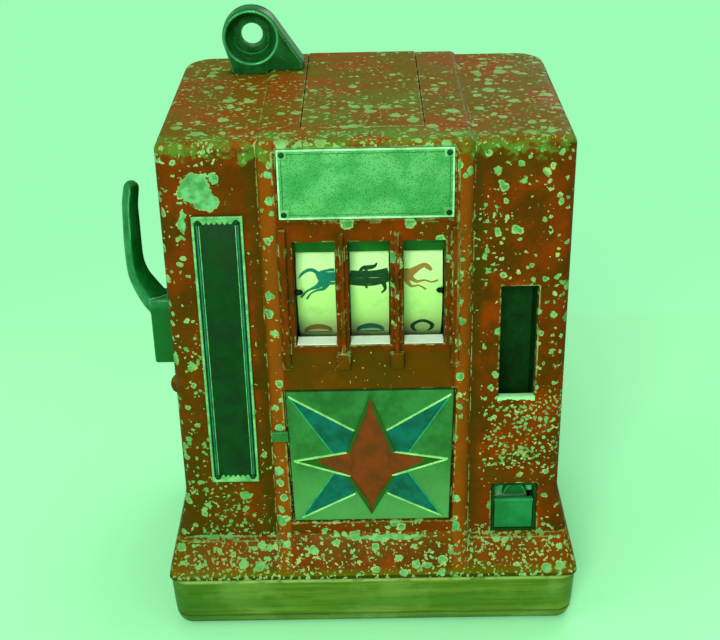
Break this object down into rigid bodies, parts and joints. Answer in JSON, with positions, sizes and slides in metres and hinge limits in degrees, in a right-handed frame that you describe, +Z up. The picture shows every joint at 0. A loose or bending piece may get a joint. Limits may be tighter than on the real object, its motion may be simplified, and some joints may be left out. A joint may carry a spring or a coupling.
{
  "type": "three-reel countertop amusement machine",
  "caption": "Countertop reel machine: cast cabinet on a wooden base, side lever, three spinning reels behind glass, coin head, token window, payout cup with flap, back door.",
  "frame": {"origin": "middle of the wooden base's underside, which is the face that it stands on", "axes": "+Z up, -Y to the player (front), +X to the player's right; the lever is on the -X side"},
  "size_m": [0.2625, 0.1843, 0.3473],
  "materials": {
    "red_paint": "chipped gloss paint over cast aluminium",
    "varnished_wood": "worn varnish",
    "dark_enamel": "dark satin",
    "bare_metal": "aged bare metal",
    "dark_iron": "dark oxide",
    "steel": "plain steel",
    "drum_metal": "satin",
    "reel_paper": "printed paper strip",
    "black_bead": "glossy",
    "brass": "plain",
    "clear_glass": "clear"
  },
  "bodies": {
    "cabinet": {"cabinet_shell": "red_paint", "wood_base": "varnished_wood", "top_lid": "red_paint", "coin_head": "dark_enamel", "coin_chute": "steel", "award_plate": "bare_metal", "award_pin_1": "dark_iron", "award_pin_2": "dark_iron", "award_pin_3": "dark_iron", "award_pin_4": "dark_iron", "name_plate": "bare_metal", "name_pin_1": "dark_iron", "name_pin_2": "dark_iron", "name_pin_3": "dark_iron", "name_pin_4": "dark_iron", "star_panel": "bare_metal", "panel_clip": "bare_metal", "window_glass": "clear_glass", "pointer_left": "black_bead", "pointer_right": "black_bead", "side_bolt": "red_paint", "handle_bush": "brass", "return_spring": "steel", "frame_left": "steel", "frame_right": "steel", "tie_rod_front": "steel", "tie_rod_back": "steel", "mech_plate": "steel", "reel_shaft": "steel", "stop_shaft": "steel", "token_tube": "steel", "slide_bed": "steel", "payout_chute": "steel", "payout_cup": "dark_iron", "flap_pin": "steel", "cash_box": "steel", "door_hinge_pin": "steel"},
    "lever": {"handle_lever": "dark_enamel", "handle_shaft": "steel", "handle_crank": "dark_iron"},
    "link": {"pull_link": "steel"},
    "kicker": {"kicker_shaft": "steel"},
    "slide": {"token_slide": "bare_metal"},
    "flap": {"payout_flap": "dark_iron"},
    "door": {"back_door": "red_paint", "door_lock": "bare_metal"},
    "cam": {"lock_cam": "steel"},
    "reel_1": {"reel_drum_1": "drum_metal", "reel_strip_1": "reel_paper", "ratchet_1": "steel"},
    "stop_1": {"stop_lever_1": "dark_iron"},
    "reel_2": {"reel_drum_2": "drum_metal", "reel_strip_2": "reel_paper", "ratchet_2": "steel"},
    "stop_2": {"stop_lever_2": "dark_iron"},
    "reel_3": {"reel_drum_3": "drum_metal", "reel_strip_3": "reel_paper", "ratchet_3": "steel"},
    "stop_3": {"stop_lever_3": "dark_iron"}
  },
  "joints": [
    {"name": "handle_pull", "type": "hinge", "parent": "cabinet", "child": "lever", "pos_m": [-0.111, -0.035, 0.17], "axis": [1, 0, 0], "range_deg": [0, 65], "stiffness_Nm_per_rad": 0.6, "springref_deg": -20.05},
    {"name": "link_swing", "type": "hinge", "parent": "lever", "child": "link", "pos_m": [-0.0625, -0.045, 0.15268], "axis": [1, 0, 0], "range_deg": [-66, 1]},
    {"name": "kicker_turn", "type": "hinge", "parent": "cabinet", "child": "kicker", "pos_m": [-0.0625, 0.035, 0.16], "axis": [1, 0, 0], "range_deg": [-1, 66]},
    {"name": "token_feed", "type": "slide", "parent": "cabinet", "child": "slide", "axis": [0, 1, 0], "range_m": [-0.0004, 0.0256]},
    {"name": "flap_swing", "type": "hinge", "parent": "cabinet", "child": "flap", "pos_m": [0.085, -0.0713, 0.079], "axis": [1, 0, 0], "range_deg": [0, 60]},
    {"name": "door_swing", "type": "hinge", "parent": "cabinet", "child": "door", "pos_m": [-0.093, 0.0915, 0.172], "axis": [0, 0, 1], "range_deg": [0, 110]},
    {"name": "lock_turn", "type": "hinge", "parent": "door", "child": "cam", "pos_m": [0.072, 0.0819, 0.172], "axis": [0, 1, 0], "range_deg": [0, 90]},
    {"name": "reel_spin_1", "type": "hinge", "parent": "cabinet", "child": "reel_1", "pos_m": [-0.0287, -0.012, 0.222], "axis": [1, 0, 0], "continuous": true},
    {"name": "reel_spin_2", "type": "hinge", "parent": "cabinet", "child": "reel_2", "pos_m": [0.001, -0.012, 0.222], "axis": [1, 0, 0], "continuous": true},
    {"name": "reel_spin_3", "type": "hinge", "parent": "cabinet", "child": "reel_3", "pos_m": [0.0307, -0.012, 0.222], "axis": [1, 0, 0], "continuous": true},
    {"name": "stop_lift_1", "type": "hinge", "parent": "cabinet", "child": "stop_1", "pos_m": [-0.0287, 0.06, 0.222], "axis": [-1, 0, 0], "range_deg": [0, 14], "stiffness_Nm_per_rad": 0.01, "springref_deg": -14.32},
    {"name": "stop_lift_2", "type": "hinge", "parent": "cabinet", "child": "stop_2", "pos_m": [0.001, 0.06, 0.222], "axis": [-1, 0, 0], "range_deg": [0, 14], "stiffness_Nm_per_rad": 0.01, "springref_deg": -14.32},
    {"name": "stop_lift_3", "type": "hinge", "parent": "cabinet", "child": "stop_3", "pos_m": [0.0307, 0.06, 0.222], "axis": [-1, 0, 0], "range_deg": [0, 14], "stiffness_Nm_per_rad": 0.01, "springref_deg": -14.32}
  ],
  "couplings": [
    {"joint": "link_swing", "follows": "handle_pull", "ratio": -1},
    {"joint": "kicker_turn", "follows": "handle_pull", "ratio": 1},
    {"joint": "token_feed", "follows": "handle_pull", "m_per_rad": 0.022}
  ]
}
